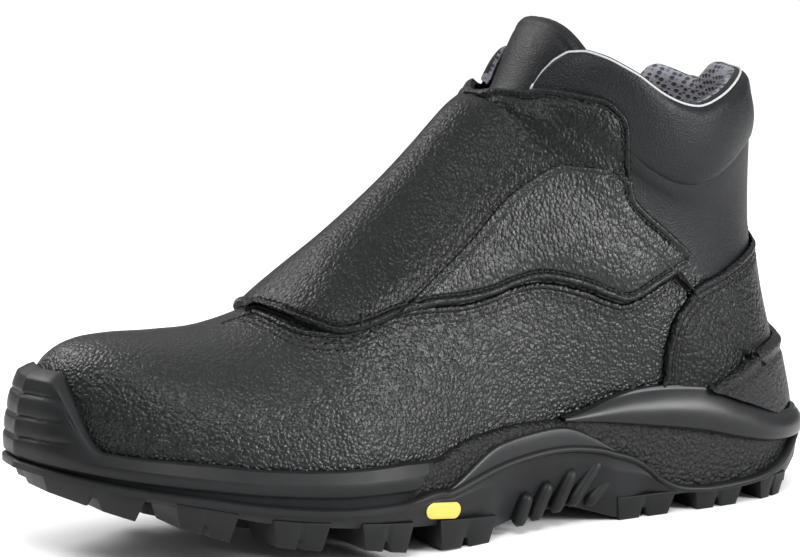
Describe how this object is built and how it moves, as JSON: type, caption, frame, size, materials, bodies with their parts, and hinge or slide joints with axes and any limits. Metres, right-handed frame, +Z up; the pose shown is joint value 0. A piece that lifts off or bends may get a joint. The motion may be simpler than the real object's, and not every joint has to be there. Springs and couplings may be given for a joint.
{
  "type": "ankle work boot",
  "caption": "Black leather ankle work boot with an instep flap over the tongue, padded collar, toe bumper, arched midsole and lugged rubber outsole",
  "frame": {"origin": "On the floor, in the middle of the heel's tread", "axes": "+X runs to the toe, +Y to the outer (lateral) side of a left foot, +Z up"},
  "size_m": [0.31, 0.1124, 0.1795],
  "materials": {
    "outsole": "matt moulded rubber",
    "midsole": "fine crumb texture",
    "cradle": "smooth satin",
    "guard": "fine crumb texture",
    "leather": "semi-gloss pebble grain",
    "counter": "wrinkled grain, slightly darker",
    "smooth": "smooth padded leather with a light-grey mesh lining",
    "insole": "light-grey cloth"
  },
  "bodies": {
    "root": {"outsole": "outsole", "midsole": "midsole", "heel_cradle": "cradle", "heel_guard": "guard", "upper": "leather", "heel_counter": "counter", "flap_front": "leather", "flap_side": "leather", "collar": "smooth", "tongue": "smooth", "insole": "insole"}
  },
  "joints": []
}
